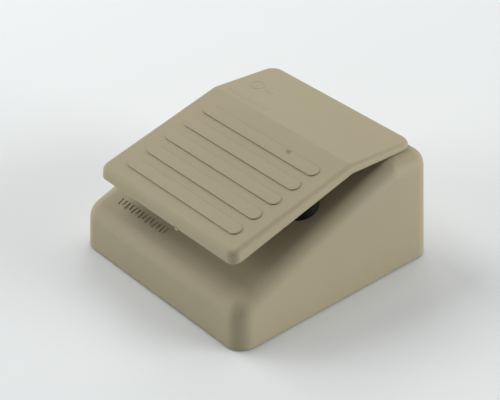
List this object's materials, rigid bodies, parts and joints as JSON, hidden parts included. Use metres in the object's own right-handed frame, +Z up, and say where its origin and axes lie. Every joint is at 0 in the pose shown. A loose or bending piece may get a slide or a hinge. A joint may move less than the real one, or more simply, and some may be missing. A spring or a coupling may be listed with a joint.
{
  "type": "foot switch",
  "caption": "Wedge-shaped plastic foot switch: a ribbed, folded treadle hinged at the rear presses a snap-action switch inside and springs back.",
  "frame": {"origin": "on the floor, under the middle of the housing's rim", "axes": "+Z up, -Y towards the toe end where the treadle is pressed, +X to the user's right"},
  "size_m": [0.0954, 0.1, 0.052],
  "materials": {
    "housing_plastic": "satin moulded ABS, warm grey",
    "treadle_plastic": "satin moulded ABS, warm grey",
    "black_rubber": "matt moulded rubber",
    "zinc_steel": "bright zinc plate",
    "spring_steel": "drawn spring wire",
    "switch_resin": "moulded phenolic",
    "nylon": "natural nylon",
    "brass": "bright contact brass"
  },
  "bodies": {
    "base": {"base_housing": "housing_plastic", "bottom_plate": "zinc_steel", "bottom_plate_screws": "zinc_steel", "foot_front_left": "black_rubber", "foot_front_right": "black_rubber", "foot_rear_left": "black_rubber", "foot_rear_right": "black_rubber", "buffer_left": "black_rubber", "buffer_right": "black_rubber", "hinge_pin_left": "zinc_steel", "hinge_pin_right": "zinc_steel", "pin_clip_left": "zinc_steel", "pin_clip_right": "zinc_steel", "return_spring": "spring_steel", "switch_bracket": "zinc_steel", "bracket_screws": "zinc_steel", "switch_case": "switch_resin", "switch_cover": "switch_resin", "switch_screws": "zinc_steel", "switch_nuts": "zinc_steel", "switch_lever_pin": "zinc_steel", "terminal_common": "brass", "terminal_open": "brass", "terminal_closed": "brass", "cable_bush": "black_rubber", "cable_clamp": "nylon", "cable_clamp_screws": "zinc_steel"},
    "treadle": {"treadle": "treadle_plastic"},
    "lever": {"switch_lever": "zinc_steel"},
    "button": {"switch_button": "nylon"},
    "blade": {"contact_blade": "brass"}
  },
  "joints": [
    {"name": "treadle_hinge", "type": "hinge", "parent": "base", "child": "treadle", "pos_m": [0, 0.034, 0.0418], "axis": [1, 0, 0], "range_deg": [0, 6], "stiffness_Nm_per_rad": 3, "springref_deg": -3.44, "deforming": ["return_spring"]},
    {"name": "lever_pivot", "type": "hinge", "parent": "base", "child": "lever", "pos_m": [-0.021, 0.0026, 0.0278], "axis": [0, 1, 0], "range_deg": [0, 9]},
    {"name": "button_slide", "type": "slide", "parent": "base", "child": "button", "axis": [0, 0, -1], "range_m": [0, 0.0014]},
    {"name": "blade_pivot", "type": "hinge", "parent": "base", "child": "blade", "pos_m": [-0.019, 0.0026, 0.0199], "axis": [0, 1, 0], "range_deg": [0, 3.1]}
  ],
  "couplings": [
    {"joint": "lever_pivot", "follows": "treadle_hinge", "ratio": 1.4833},
    {"joint": "button_slide", "follows": "treadle_hinge", "m_per_rad": 0.012414},
    {"joint": "blade_pivot", "follows": "treadle_hinge", "ratio": 0.5}
  ]
}
